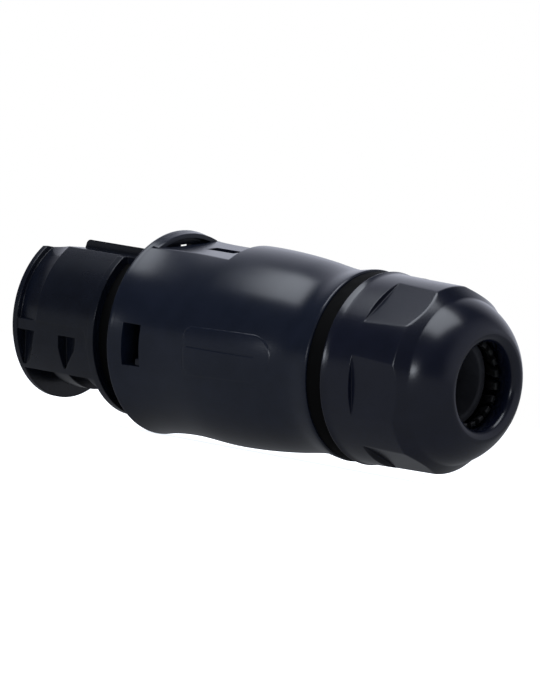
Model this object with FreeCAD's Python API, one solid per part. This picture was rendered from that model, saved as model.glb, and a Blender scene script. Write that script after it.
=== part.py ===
"""Three pole inline socket connector with a cable gland, 98 mm long.

The connector's axis is X.  The origin is the centre of the mating face, +X runs to the
cable entry and +Z points out of the key flat of the mating end, as the connector comes to
lie.  The pieces are built about the flat of the housing, which leans by KEY_TILT, and are
turned level at the end.  Angles about the axis are measured from -Y, the side of one
window, towards +Z.  Lengths are millimetres.
"""
import FreeCAD, Part
import math
import os

V = FreeCAD.Vector
ORIGIN = V(0, 0, 0)
AXIS = V(1, 0, 0)
UP_TURN = V(-1, 0, 0)
EDGE = 0.3
BIG = 60.0
PAST = 1.0
SINK = 0.2

# Clearances, which also set how far a bore stands off what it holds
SLIDE_FIT = 0.1
THREAD_FIT = 0.08
SEAT_FIT = 0.02

# Contacts
POLES = {"earth": 90.0, "line": 210.0, "neutral": 330.0}
POLE_CIRCLE_R = 5.6
PIN_R = 1.8
SOCKET_WALL = 0.8
SOCKET_R = PIN_R + SOCKET_WALL
SOCKET_X = 1.0
SOCKET_LONG = 15.0
SOCKET_SLOT = 0.45
SOCKET_SLOT_LONG = 8.0
SOCKET_DEEP = 11.0
SHANK_STEP = 0.25
SHANK_R = SOCKET_R + SHANK_STEP
FLANGE_STEP = 0.75
FLANGE_R = SHANK_R + FLANGE_STEP
FLANGE_THICK = 2.0
BARREL_STEP = 0.25
BARREL_R = SHANK_R + BARREL_STEP
WIRE_R = 2.0
BARREL_LONG = 14.0
WIRE_DEEP = 9.0
FACE_HOLE_MORE = 0.3
FACE_HOLE_R = PIN_R + FACE_HOLE_MORE
FACE_THICK = 0.9
RETAINER_THICK = 2.5
SPRING_THICK = 0.22
SPRING_X = 3.0
SPRING_LONG = 6.0
SPRING_GAP_DEG = 36.0
SCREW_BEFORE_END = 4.5
SCREW_R = 1.45
SCREW_HEAD_R = 2.2
SCREW_HEAD_HIGH = 1.5
SCREW_SLOT = 0.6
GUARD_THICK = 0.3
GUARD_HALF = 1.0
GUARD_BEFORE_SCREW = 3.4

# Contact block, from the chambers outwards
BLOCK_WALL = 1.15
BLOCK_STEP = 1.7
BLOCK_R = POLE_CIRCLE_R + SHANK_R + SLIDE_FIT + BLOCK_WALL
BLOCK_REAR_R = BLOCK_R + BLOCK_STEP
BLOCK_SHOULDER_X = 20.5
BLOCK_O_RING_R = 0.48
BLOCK_O_LONG = 1.0
BLOCK_REAR_LONG = 10.5
BLOCK_END = BLOCK_SHOULDER_X + BLOCK_O_LONG + BLOCK_REAR_LONG
BARREL_END = BLOCK_END + BARREL_LONG
SCREW_X = BARREL_END - SCREW_BEFORE_END
SHANK_X = SOCKET_X + SOCKET_LONG
FLANGE_X = BLOCK_END - FLANGE_THICK

# Mating end
RECESS_GROOVE_WALL = 1.4
RECESS_GROOVE_DEPTH = 1.6
RECESS_DEPTH = 2.6
RECESS_GROOVE_R = BLOCK_R + RECESS_GROOVE_WALL
RECESS_R = RECESS_GROOVE_R + RECESS_GROOVE_DEPTH
WALL_R = RECESS_R + RECESS_DEPTH
RIM_DROP = 0.13
RIM_R = WALL_R - RIM_DROP
RIM_THICK = 1.3
RIM_GROOVE_DEPTH = 1.0
RIM_GROOVE_LONG = 4.7
RIM_GROOVE_END = RIM_THICK + RIM_GROOVE_LONG
RIM_GROOVE_SAG = 0.25
COLLAR_X = 18.57
COLLAR_RISE = 0.7
COLLAR_R = WALL_R + COLLAR_RISE
COLLAR_THICK = 1.76
COLLAR_END = COLLAR_X + COLLAR_THICK
SEAT_WALL = 2.0
SEAL_SEAT_R = BLOCK_REAR_R + SEAT_WALL
SEAL_LONG = 5.02
TAIL_STEP = 1.1
TAIL_R = SEAL_SEAT_R + TAIL_STEP
TAIL_LONG = 14.35

# Keyways, key pockets and the recess under them
KEYWAY_TOP = 0.8
KEYWAY_DEPTH = 0.35
KEYWAY_FLOOR = WALL_R - KEYWAY_DEPTH
KEYWAY_LOW = -5.0
KEYWAY_TO_COLLAR = 0.77
KEYWAY_END = COLLAR_X - KEYWAY_TO_COLLAR
KEYWAY_CORNER = 1.3
POCKET_DEPTH = 2.6
POCKET_TOP = -1.15
RECESS_TOP = -8.4
RECESS_FRONT_GROOVE = 3.3
RECESS_REAR_GROOVE_X = 8.4
RECESS_REAR_GROOVE = 4.6
FRONT_POCKET = [(5.4, POCKET_TOP), (4.9, -4.2), (3.6, -6.6), (2.2, -7.6), (RIM_THICK, -7.6)]
REAR_POCKET = [(11.1, POCKET_TOP), (15.3, POCKET_TOP), (15.1, -3.4), (12.0, -7.2), (11.5, -7.2),
               (11.2, -3.4)]

# Key flat and latch bar on top of the mating end
KEY_TILT = 12.0
KEY_WALL = 0.7
KEY_HEIGHT = BLOCK_REAR_R + KEY_WALL
KEY_FRONT_DROP = 1.0
KEY_LEVEL_X = 8.0
LEDGE_RISE = 1.45
LEDGE_Z = KEY_HEIGHT + LEDGE_RISE
LEDGE_HALF = 7.4
BAR_HALF = 5.0
BAR_RISE = 1.55
BAR_FRONT = 7.9
BAR_RAKE = 0.3
BAR_NOSE = 1.3
BAR_NOSE_DROP = 0.9

# Rubber ring of round section on the tail
O_RING_R = 0.68
O_GROOVE_LONG = 2.0

# Housing barrel: the front ring stands off the chamber, and the line behind drops from it
CHAMBER_R = TAIL_R + SLIDE_FIT
FRONT_X = COLLAR_END + SEAL_LONG + EDGE
FRONT_WALL = 3.75
FRONT_R = CHAMBER_R + FRONT_WALL
FRONT_SLOPE = -0.22
WAIST_BACK = 10.35
WAIST_DROP = 0.95
BULGE_BACK = 9.8
BULGE_RISE = 0.46
SHOULDER_BACK = 12.2
SHOULDER_DROP = 0.73
SHOULDER_SLOPE = -0.115
TAPER_BACK = 7.5
TAPER_DROP = 0.83
REAR_BACK = 4.8
REAR_RISE = 0.6
REAR_SLOPE = 0.10
WAIST_X = FRONT_X + WAIST_BACK
WAIST_R = FRONT_R - WAIST_DROP
BULGE_X = WAIST_X + BULGE_BACK
BULGE_R = WAIST_R + BULGE_RISE
SHOULDER_X = BULGE_X + SHOULDER_BACK
SHOULDER_R = BULGE_R - SHOULDER_DROP
TAPER_X = SHOULDER_X + TAPER_BACK
TAPER_R = SHOULDER_R - TAPER_DROP
REAR_X = TAPER_X + REAR_BACK
REAR_R = TAPER_R + REAR_RISE

# Arch, flat, latch slot, release hole and windows of the housing
ARCH_WALL = 1.15
ARCH_LIP = 1.2
ARCH_LIP_THICK = 1.2
FLAT_WALL = 1.45
FLAT_LONG = 16.3
SLOT_BESIDE_BAR = 0.5
SLOT_OVER_BAR = 0.5
SLOT_LONG = 2.95
NOTCH_FROM = -0.6
NOTCH_TO = 2.25
NOTCH_OVER_BAR = 2.25
HOLE_BACK = 4.9
HOLE_LONG = 6.3
HOLE_WIDE = 2.9
WINDOW_BACK = 3.05
WINDOW_LONG = 3.8
WINDOW_HIGH = 7.5
WINDOW_POCKET_WALL = 0.8
WINDOW_POCKET_MORE = 0.5
HOOK_HIGH = 1.2
HOOK_FOOT = 2.4
HOOK_CREST = 1.2
HOOK_REACH = 2.3
ARCH_REAR = FRONT_X + ARCH_WALL + ARCH_LIP
ARCH_LIP_R = FRONT_R - ARCH_LIP_THICK
FLAT_Z = CHAMBER_R + FLAT_WALL
FLAT_END = ARCH_REAR + FLAT_LONG
SLOT_HALF = BAR_HALF + SLOT_BESIDE_BAR
SLOT_END = FRONT_X + SLOT_LONG
BAR_GAP = 1.2
BAR_END = SLOT_END - BAR_GAP
KEY_GAP = 0.4
KEY_END = SLOT_END - KEY_GAP
NOTCH_TOP = KEY_HEIGHT + BAR_RISE + NOTCH_OVER_BAR
HOLE_X = SLOT_END + HOLE_BACK
WINDOW_X = FRONT_X + WINDOW_BACK
WINDOW_POCKET_Y = BLOCK_REAR_R + WINDOW_POCKET_WALL
TAIL_END = FRONT_X + TAIL_LONG
O_RING_BACK = 2.0
INSERT_O_X = WINDOW_X + WINDOW_LONG + O_RING_BACK

# Cable seal, clamping cage and the spigot round them, from the cable outwards
SEAL_BORE_R = 6.5
SEAL_WALL = 2.7
SEAL_R = SEAL_BORE_R + SEAL_WALL
CAGE_WALL = 1.0
CAGE_R = SEAL_R + SLIDE_FIT + CAGE_WALL
SPIGOT_BORE_R = CAGE_R + SLIDE_FIT
SPIGOT_WALL = 1.9
SPIGOT_R = SPIGOT_BORE_R + SPIGOT_WALL
PASSAGE_STEP = 1.7
PASSAGE_R = CAGE_R - PASSAGE_STEP
CONE_BEFORE_TAPER = 3.5
CHAMBER_END = TAPER_X - CONE_BEFORE_TAPER
PASSAGE_BEFORE_REAR = 0.3
PASSAGE_X = REAR_X - PASSAGE_BEFORE_REAR
SHELF_BACK = 5.2
SEAL_SHELF_X = REAR_X + SHELF_BACK
SPIGOT_LONG = 14.2
SPIGOT_END = REAR_X + SPIGOT_LONG
SEAL_FLANGE_THICK = 3.5
CAGE_X = SEAL_SHELF_X + SEAL_FLANGE_THICK
FINGERS = 20
FINGER_SLOT = 1.0
CAGE_COLLAR_LONG = 5.0
FINGER_X = CAGE_X + CAGE_COLLAR_LONG
CAGE_STRAIGHT_LONG = 10.3
FINGER_BEND_X = CAGE_X + CAGE_STRAIGHT_LONG
FINGER_BENT_LONG = 4.3
FINGER_TIP_X = FINGER_BEND_X + FINGER_BENT_LONG
FINGER_TIP_MORE = 0.15
FINGER_TIP_R = SEAL_BORE_R + FINGER_TIP_MORE
FINGER_TIP_LEAN = 0.3
FINGER_BEND_LEAN = 0.4
SEAL_UNDER_FINGERS = 1.0
SEAL_END = FINGER_BEND_X + SEAL_UNDER_FINGERS
SEAL_TAPER_LONG = 4.3
SEAL_TAPER_X = SEAL_END - SEAL_TAPER_LONG
SEAL_TAPER_DROP = 1.3
SEAL_END_R = SEAL_R - SEAL_TAPER_DROP

# Gland nut
NUT_SEAL_THICK = 3.3
NUT_X = REAR_X + NUT_SEAL_THICK
NUT_BORE_R = SPIGOT_R + THREAD_FIT
NUT_WALL = 4.32
NUT_R = NUT_BORE_R + NUT_WALL
NUT_FRONT_RISE = 0.3
NUT_FRONT_R = NUT_R + NUT_FRONT_RISE
NUT_FLARE = 1.1
NUT_FLARE_SLOPE = -0.5
NUT_DRAFT = -0.02
NUT_END_DROP = 0.28
NUT_END_R = NUT_R - NUT_END_DROP
NUT_TURN = -2.7
NUT_COLLAR_LONG = 6.1
FLAT_STEP_X = NUT_X + NUT_COLLAR_LONG
FLAT_DEPTH = 1.0
NUT_BODY_LONG = 14.8
CHAMFER_X = NUT_X + NUT_BODY_LONG
CHAMFER_LONG = 2.6
CHAMFER_DROP = 1.78
CHAMFER_START_SLOPE = -0.05
CHAMFER_END_SLOPE = -1.0
CHAMFER_END_X = CHAMFER_X + CHAMFER_LONG
CHAMFER_END_R = NUT_END_R - CHAMFER_DROP
DOME_START = 0.3
DOME_R = 11.8
DOME_CENTRE_BEFORE = 4.0
DOME_CENTRE_X = CHAMFER_END_X - DOME_CENTRE_BEFORE
DOME_CENTRE_INSIDE = 11.14
DOME_CENTRE_R = CHAMFER_END_R - DOME_CENTRE_INSIDE
LIP_R = 0.5
LIP_EDGE = 0.15
ENTRY_MORE = 1.19
ENTRY_R = SEAL_BORE_R + ENTRY_MORE
NUT_THREAD_LONG = 11.4
NUT_RELIEF_MORE = 0.6
NUT_RELIEF_R = CAGE_R + NUT_RELIEF_MORE
CONE_GAP = 0.4

# Rubber rings in front of and behind the housing
COUPLING_SEAL_THICK = 1.0
COUPLING_SEAL_R = SEAL_SEAT_R + COUPLING_SEAL_THICK
COUPLING_SEAL_LIP = 0.9
COUPLING_SEAL_LIP_R = COUPLING_SEAL_R + COUPLING_SEAL_LIP
COUPLING_SEAL_STEP = 0.5
NUT_SEAL_DROP = 0.3
NUT_SEAL_R = REAR_R - NUT_SEAL_DROP


def bar(p, q):
    """Straight edge between two (x, r) points of a half section."""
    return Part.LineSegment(V(p[0], 0, p[1]), V(q[0], 0, q[1])).toShape()


def sweep(p, slope_p, q, slope_q):
    """Cubic edge between two (x, r) points with a slope at each."""
    third = (q[0] - p[0]) / 3
    poles = [p, (p[0] + third, p[1] + slope_p * third), (q[0] - third, q[1] - slope_q * third), q]
    curve = Part.BezierCurve()
    curve.setPoles([V(x, 0, r) for x, r in poles])
    return curve.toShape()


def arc(p, middle, q):
    """Circular edge through three (x, r) points of a half section."""
    return Part.Arc(*[V(x, 0, r) for x, r in (p, middle, q)]).toShape()


def turned(edges):
    """Solid of revolution about the connector's axis from the edges of a half section."""
    face = Part.Face(Part.Wire(edges))
    return face.revolve(ORIGIN, AXIS, 360)


def turned_points(points):
    """Solid of revolution from the corners of a half section."""
    return turned([bar(p, q) for p, q in zip(points, points[1:] + points[:1])])


def ring(x0, x1, r0, r1):
    """Plain ring between two stations and two radii."""
    return turned_points([(x0, r0), (x0, r1), (x1, r1), (x1, r0)])


def rod(x0, x1, r, y=0.0, z=0.0):
    """Cylinder along the axis, centred at y and z."""
    return Part.makeCylinder(r, x1 - x0, V(x0, y, z), AXIS)


def block(x0, x1, y0, y1, z0, z1):
    """Box between two corners."""
    return Part.makeBox(x1 - x0, y1 - y0, z1 - z0, V(x0, y0, z0))


def side_prism(points, y0, y1):
    """Prism along Y whose section has the given (x, z) corners."""
    corners = [V(x, y0, z) for x, z in points]
    face = Part.Face(Part.makePolygon(corners + corners[:1]))
    return face.extrude(V(0, y1 - y0, 0))


def mirrored(shape):
    """The same shape on the other side of the plane through the axis and +Z."""
    return shape.mirror(ORIGIN, V(0, 1, 0))


def about_axis(shape, degrees):
    """Copy of a shape turned about the axis in the sense from -Y to +Z."""
    copy = shape.copy()
    copy.rotate(ORIGIN, UP_TURN, degrees)
    return copy


def torus(x, r, section_r):
    """Rubber ring of round section."""
    return Part.makeTorus(r, section_r, V(x, 0, 0), AXIS)


def barrel_outline():
    """Waisted outer line of the housing, from the front ring to the rear edge."""
    front = (FRONT_X + EDGE, FRONT_R)
    waist = (WAIST_X, WAIST_R)
    bulge = (BULGE_X, BULGE_R)
    shoulder = (SHOULDER_X, SHOULDER_R)
    taper = (TAPER_X, TAPER_R)
    rear = (REAR_X - EDGE, REAR_R)
    return [
        sweep(front, FRONT_SLOPE, waist, 0),
        sweep(waist, 0, bulge, 0),
        sweep(bulge, 0, shoulder, SHOULDER_SLOPE),
        sweep(shoulder, SHOULDER_SLOPE, taper, 0),
        sweep(taper, 0, rear, REAR_SLOPE),
    ]


def housing():
    """Barrel with its chamber, spigot, flat, arch, latch slot, hole and windows."""
    spigot = [
        (REAR_X, REAR_R - EDGE), (REAR_X, SPIGOT_R), (SPIGOT_END - EDGE, SPIGOT_R),
        (SPIGOT_END, SPIGOT_R - EDGE), (SPIGOT_END, SPIGOT_BORE_R), (SEAL_SHELF_X, SPIGOT_BORE_R),
        (SEAL_SHELF_X, PASSAGE_R), (PASSAGE_X, PASSAGE_R), (CHAMBER_END, CHAMBER_R),
        (FRONT_X, CHAMBER_R), (FRONT_X, FRONT_R - EDGE),
    ]
    edges = barrel_outline()
    edges.append(bar((REAR_X - EDGE, REAR_R), spigot[0]))
    edges += [bar(p, q) for p, q in zip(spigot, spigot[1:])]
    edges.append(bar(spigot[-1], (FRONT_X + EDGE, FRONT_R)))
    shell = turned(edges)
    arch_in = FRONT_X + ARCH_WALL
    flat = block(ARCH_REAR, FLAT_END, -BIG, BIG, FLAT_Z, BIG)
    under_lip = rod(arch_in, SLOT_END, ARCH_LIP_R).common(block(0, BIG, -BIG, BIG, FLAT_Z, BIG))
    slot = block(FRONT_X - PAST, SLOT_END, -BIG, BIG, 0, KEY_HEIGHT + BAR_RISE + SLOT_OVER_BAR)
    slot.rotate(ORIGIN, AXIS, -KEY_TILT)
    slot = slot.common(block(0, BIG, -SLOT_HALF, SLOT_HALF, KEY_HEIGHT - PAST, BIG))
    notch = block(FRONT_X - PAST, SLOT_END, NOTCH_FROM, NOTCH_TO, KEY_HEIGHT, NOTCH_TOP)
    slot_rear = block(arch_in, SLOT_END, -SLOT_HALF, SLOT_HALF, 0, FLAT_Z + EDGE)
    hole = block(HOLE_X, HOLE_X + HOLE_LONG, -HOLE_WIDE / 2, HOLE_WIDE / 2, 0, BIG)
    window = block(WINDOW_X, WINDOW_X + WINDOW_LONG, -BIG, BIG, -WINDOW_HIGH / 2, WINDOW_HIGH / 2)
    for tool in (flat, under_lip, slot, notch, slot_rear, hole, window):
        shell = shell.cut(tool)
    return shell


def key_space():
    """Everything above the leaning key flat, which drops towards the rim."""
    low = KEY_HEIGHT - KEY_FRONT_DROP
    points = [(-PAST, low), (0, low), (KEY_LEVEL_X, KEY_HEIGHT), (KEY_END, KEY_HEIGHT),
              (KEY_END, BIG), (-PAST, BIG)]
    space = side_prism(points, -BIG, BIG)
    space.rotate(ORIGIN, AXIS, -KEY_TILT)
    return space


def latch_bar():
    """Raised bar on the key flat, with a raked and rounded front end."""
    top = KEY_HEIGHT + BAR_RISE
    share = 1 - math.sqrt(0.5)
    low = (BAR_FRONT + BAR_RAKE, top - BAR_NOSE_DROP)
    high = (low[0] + BAR_NOSE, top)
    nose = arc(low, (low[0] + share * BAR_NOSE, top - share * BAR_NOSE_DROP), high)
    foot = KEY_HEIGHT - SINK
    line = [high, (BAR_END, top), (BAR_END, foot), (BAR_FRONT, foot), low]
    edges = [nose] + [bar(p, q) for p, q in zip(line, line[1:])]
    wide = Part.Face(Part.Wire(edges)).extrude(V(0, 2 * BIG, 0))
    wide.translate(V(0, -BIG, 0))
    wide.rotate(ORIGIN, AXIS, -KEY_TILT)
    return wide.common(block(0, BIG, -BAR_HALF, BAR_HALF, 0, BIG))


def keyway():
    """Flat shallow recess from the rim rearwards, with a round upper rear corner."""
    corner_x = KEYWAY_END - KEYWAY_CORNER
    corner_z = KEYWAY_TOP - KEYWAY_CORNER
    turn = KEYWAY_CORNER * math.sqrt(0.5)
    corner = arc((corner_x, KEYWAY_TOP), (corner_x + turn, corner_z + turn), (KEYWAY_END, corner_z))
    line = [(KEYWAY_END, corner_z), (KEYWAY_END, KEYWAY_LOW), (RIM_THICK, KEYWAY_LOW),
            (RIM_THICK, KEYWAY_TOP), (corner_x, KEYWAY_TOP)]
    face = Part.Face(Part.Wire([corner] + [bar(p, q) for p, q in zip(line, line[1:])]))
    tool = face.extrude(V(0, BIG, 0))
    tool.translate(V(0, -BIG - KEYWAY_FLOOR, 0))
    return tool


def side_features(insert):
    """Cuts the keyway and the key pockets on one side of the mating end."""
    front = [(RIM_THICK, POCKET_TOP)] + FRONT_POCKET
    floor = -WALL_R + POCKET_DEPTH
    insert = insert.cut(keyway())
    for pocket in (front, REAR_POCKET):
        insert = insert.cut(side_prism(pocket, -BIG, floor))
    return insert


def snap_hook():
    """Small ramped hook of the insert that catches in a window of the housing."""
    low = -WINDOW_HIGH / 2 + SLIDE_FIT
    top_r = TAIL_R + HOOK_REACH
    end = WINDOW_X + WINDOW_LONG - SLIDE_FIT
    root = -WINDOW_POCKET_Y + SINK
    section = [(end - HOOK_FOOT, root), (end - HOOK_CREST, -top_r), (end, -top_r), (end, root)]
    corners = [V(x, y, low) for x, y in section]
    face = Part.Face(Part.makePolygon(corners + corners[:1]))
    return face.extrude(V(0, 0, HOOK_HIGH))


def coupling_insert():
    """Moulded mating end: rim, grooved wall, ribs, pockets, collar, latch bar and tail."""
    groove_r = RIM_R - RIM_GROOVE_DEPTH
    half_groove = (RIM_THICK + RIM_GROOVE_END) / 2
    sag = (groove_r + WALL_R) / 2 - RIM_GROOVE_SAG
    o_seat_r = CHAMBER_R - 2 * (O_RING_R + SEAT_FIT)
    outline = [
        (RIM_GROOVE_END, WALL_R), (COLLAR_X, WALL_R), (COLLAR_X, COLLAR_R - EDGE),
        (COLLAR_X + EDGE, COLLAR_R), (COLLAR_END, COLLAR_R), (COLLAR_END, SEAL_SEAT_R),
        (FRONT_X - EDGE, SEAL_SEAT_R), (FRONT_X - EDGE, TAIL_R), (INSERT_O_X, TAIL_R),
        (INSERT_O_X, o_seat_r), (INSERT_O_X + O_GROOVE_LONG, o_seat_r),
        (INSERT_O_X + O_GROOVE_LONG, TAIL_R), (TAIL_END, TAIL_R),
        (TAIL_END, BLOCK_REAR_R + SLIDE_FIT), (BLOCK_SHOULDER_X, BLOCK_REAR_R + SLIDE_FIT),
        (BLOCK_SHOULDER_X, BLOCK_R + SLIDE_FIT), (0, BLOCK_R + SLIDE_FIT), (0, RIM_R - EDGE),
        (EDGE, RIM_R), (RIM_THICK, RIM_R), (RIM_THICK, groove_r),
    ]
    edges = [bar(p, q) for p, q in zip(outline, outline[1:])]
    edges.append(arc((RIM_THICK, groove_r), (half_groove, sag), (RIM_GROOVE_END, WALL_R)))
    insert = turned(edges)
    fill = ring(RIM_THICK, RIM_GROOVE_END, RECESS_R, WALL_R)
    insert = insert.fuse(fill.common(block(0, BIG, -BIG, BIG, RECESS_TOP - PAST, KEYWAY_TOP)))
    plinth = block(COLLAR_END - PAST, FRONT_X - EDGE, -LEDGE_HALF, LEDGE_HALF, BLOCK_R, LEDGE_Z)
    insert = insert.fuse(plinth.cut(rod(0, BIG, SEAL_SEAT_R - SINK)))
    under = block(RIM_THICK, COLLAR_X, -BIG, BIG, -BIG, RECESS_TOP)
    insert = insert.cut(ring(RIM_THICK, COLLAR_X, RECESS_R, BIG).common(under))
    front_groove = ring(RIM_THICK, RIM_THICK + RECESS_FRONT_GROOVE, RECESS_GROOVE_R, BIG)
    rear_groove = ring(RECESS_REAR_GROOVE_X, RECESS_REAR_GROOVE_X + RECESS_REAR_GROOVE,
                       RECESS_GROOVE_R, BIG)
    for groove in (front_groove, rear_groove):
        insert = insert.cut(groove.common(under))
    insert = mirrored(side_features(mirrored(side_features(insert))))
    insert = insert.cut(block(-PAST, FRONT_X - EDGE, -BIG, BIG, LEDGE_Z, BIG))
    insert = insert.cut(key_space())
    half = WINDOW_HIGH / 2 + WINDOW_POCKET_MORE
    pocket = block(WINDOW_X - WINDOW_POCKET_MORE, WINDOW_X + WINDOW_LONG + WINDOW_POCKET_MORE,
                   -BIG, -WINDOW_POCKET_Y, -half, half)
    insert = insert.cut(pocket).cut(mirrored(pocket))
    insert = insert.fuse([latch_bar(), snap_hook(), mirrored(snap_hook())])
    return insert.removeSplitter()


def coupling_seal():
    """Rubber ring between collar and housing, with one lip, open where the bar passes."""
    start = COLLAR_END
    end = FRONT_X - EDGE
    third = (end - start) / 3
    step = COUPLING_SEAL_STEP
    inner = SEAL_SEAT_R + SEAT_FIT
    seal = turned_points([
        (start, inner), (start, COUPLING_SEAL_R), (start + third, COUPLING_SEAL_R - step),
        (start + third + step, COUPLING_SEAL_LIP_R), (end - third - step, COUPLING_SEAL_LIP_R),
        (end - third, COUPLING_SEAL_R - step), (end, COUPLING_SEAL_R), (end, inner),
    ])
    gap = block(0, BIG, -LEDGE_HALF - SLIDE_FIT, LEDGE_HALF + SLIDE_FIT, 0, BIG)
    return seal.cut(gap)


def nut_seal():
    """Flat rubber ring between the housing's rear face and the nut."""
    inner = SPIGOT_R + SEAT_FIT
    return turned_points([
        (REAR_X, inner), (REAR_X, NUT_SEAL_R - EDGE), (REAR_X + EDGE, NUT_SEAL_R),
        (NUT_X - EDGE, NUT_SEAL_R), (NUT_X, NUT_SEAL_R - EDGE), (NUT_X, inner),
    ])


def dome_point(r):
    """Station on the nut's dome at a radius."""
    return DOME_CENTRE_X + math.sqrt(DOME_R ** 2 - (r - DOME_CENTRE_R) ** 2)


def dome_r(x):
    """Radius of the nut's dome at a station."""
    return DOME_CENTRE_R + math.sqrt(DOME_R ** 2 - (x - DOME_CENTRE_X) ** 2)


def finger_line(offset):
    """Ends of the sloping outer face of the fingers, moved outwards by an offset."""
    tip_r = FINGER_TIP_R + CAGE_WALL
    run = FINGER_TIP_X - FINGER_BEND_X
    drop = CAGE_R - tip_r
    length = math.hypot(run, drop)
    shift = (offset * drop / length, offset * run / length)
    return ((FINGER_BEND_X + shift[0], CAGE_R + shift[1]), (FINGER_TIP_X + shift[0], tip_r + shift[1]))


def gland_nut():
    """Cap nut: drafted collar, six spanner flats, chamfer, dome, lip and inner cone."""
    start, end = finger_line(CONE_GAP)
    slope = (end[1] - start[1]) / (end[0] - start[0])
    cone_x0 = start[0] + (NUT_RELIEF_R - start[1]) / slope
    cone_x1 = start[0] + (ENTRY_R - start[1]) / slope
    thread_end = NUT_X + NUT_THREAD_LONG
    chamfer_end = (CHAMFER_END_X, CHAMFER_END_R)
    dome_x = CHAMFER_END_X + DOME_START
    dome_start = (dome_x, dome_r(dome_x))
    lip_r = ENTRY_R + LIP_R
    lip_x = dome_point(lip_r + LIP_EDGE)
    dome_mid_r = (dome_start[1] + lip_r) / 2
    middle = (dome_point(dome_mid_r), dome_mid_r)
    entry_x = lip_x - LIP_R
    turn = LIP_R * (1 - math.sqrt(0.5))
    flare_x = NUT_X + EDGE + NUT_FLARE
    edges = [
        bar((NUT_X, NUT_BORE_R), (NUT_X, NUT_FRONT_R - EDGE)),
        bar((NUT_X, NUT_FRONT_R - EDGE), (NUT_X + EDGE, NUT_FRONT_R)),
        sweep((NUT_X + EDGE, NUT_FRONT_R), NUT_FLARE_SLOPE, (flare_x, NUT_R), NUT_DRAFT),
        bar((flare_x, NUT_R), (CHAMFER_X, NUT_END_R)),
        sweep((CHAMFER_X, NUT_END_R), CHAMFER_START_SLOPE, chamfer_end, CHAMFER_END_SLOPE),
        bar(chamfer_end, dome_start),
        arc(dome_start, middle, (lip_x, lip_r + LIP_EDGE)),
        bar((lip_x, lip_r + LIP_EDGE), (lip_x, lip_r)),
        arc((lip_x, lip_r), (lip_x - turn, ENTRY_R + turn), (entry_x, ENTRY_R)),
        bar((entry_x, ENTRY_R), (cone_x1, ENTRY_R)),
        bar((cone_x1, ENTRY_R), (cone_x0, NUT_RELIEF_R)),
        bar((cone_x0, NUT_RELIEF_R), (thread_end, NUT_RELIEF_R)),
        bar((thread_end, NUT_RELIEF_R), (thread_end, NUT_BORE_R)),
        bar((thread_end, NUT_BORE_R), (NUT_X, NUT_BORE_R)),
    ]
    nut = turned(edges)
    flat = block(FLAT_STEP_X, BIG * 2, -BIG, FLAT_DEPTH - NUT_R, -BIG, BIG)
    for turn_number in range(6):
        nut = nut.cut(about_axis(flat, NUT_TURN + 60 * turn_number))
    return nut


def clamping_cage():
    """Slit sleeve whose fingers bend in over the end of the cable seal."""
    (bend_x, bend_r), (tip_x, tip_r) = finger_line(0)
    inner = CAGE_R - CAGE_WALL
    sleeve = turned_points([
        (CAGE_X, inner), (CAGE_X, CAGE_R), (bend_x, bend_r), (tip_x, tip_r),
        (tip_x - FINGER_TIP_LEAN, FINGER_TIP_R), (bend_x - FINGER_BEND_LEAN, inner),
    ])
    half = FINGER_SLOT / 2
    slit = block(FINGER_X, BIG * 2, -CAGE_R - PAST, -FINGER_TIP_R + PAST, -half, half)
    slits = [about_axis(slit, 360 / FINGERS * k) for k in range(FINGERS)]
    return sleeve.cut(Part.Compound(slits))


def cable_seal():
    """Rubber sleeve that the fingers press on the cable, with a flange under the cage."""
    return turned_points([
        (SEAL_SHELF_X, SEAL_BORE_R), (SEAL_SHELF_X, CAGE_R), (CAGE_X, CAGE_R), (CAGE_X, SEAL_R),
        (SEAL_TAPER_X, SEAL_R), (SEAL_END, SEAL_END_R), (SEAL_END, SEAL_BORE_R),
    ])


def pole_place(angle):
    """Centre of a contact on its circle."""
    turn = math.radians(angle)
    return -POLE_CIRCLE_R * math.cos(turn), POLE_CIRCLE_R * math.sin(turn)


def contact_face():
    """Disc at the mating face with a plain hole for each pin."""
    disc = rod(0, FACE_THICK, BLOCK_R)
    for angle in POLES.values():
        y, z = pole_place(angle)
        disc = disc.cut(rod(-PAST, FACE_THICK + PAST, FACE_HOLE_R, y, z))
    return disc


def contact_block():
    """Insulating carrier behind the face, with a chamber for each contact."""
    shoulder = BLOCK_SHOULDER_X + BLOCK_O_LONG
    body = rod(FACE_THICK, shoulder, BLOCK_R)
    body = body.fuse(rod(shoulder, FLANGE_X, BLOCK_REAR_R)).removeSplitter()
    for angle in POLES.values():
        y, z = pole_place(angle)
        body = body.cut(rod(0, BLOCK_END, SHANK_R + SLIDE_FIT, y, z))
    return body


def block_retainer():
    """Plate behind the block that traps the flanges of the contacts."""
    end = BLOCK_END + RETAINER_THICK
    plate = rod(FLANGE_X, end, BLOCK_REAR_R)
    for angle in POLES.values():
        y, z = pole_place(angle)
        plate = plate.cut(rod(FLANGE_X - PAST, BLOCK_END, FLANGE_R + SLIDE_FIT, y, z))
        plate = plate.cut(rod(BLOCK_END - PAST, end + PAST, BARREL_R + SLIDE_FIT, y, z))
    return plate


def on_pole(shape, angle):
    """Moves a shape built at the top, about the line z = POLE_CIRCLE_R, to its pole."""
    return about_axis(shape, angle - 90)


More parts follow.
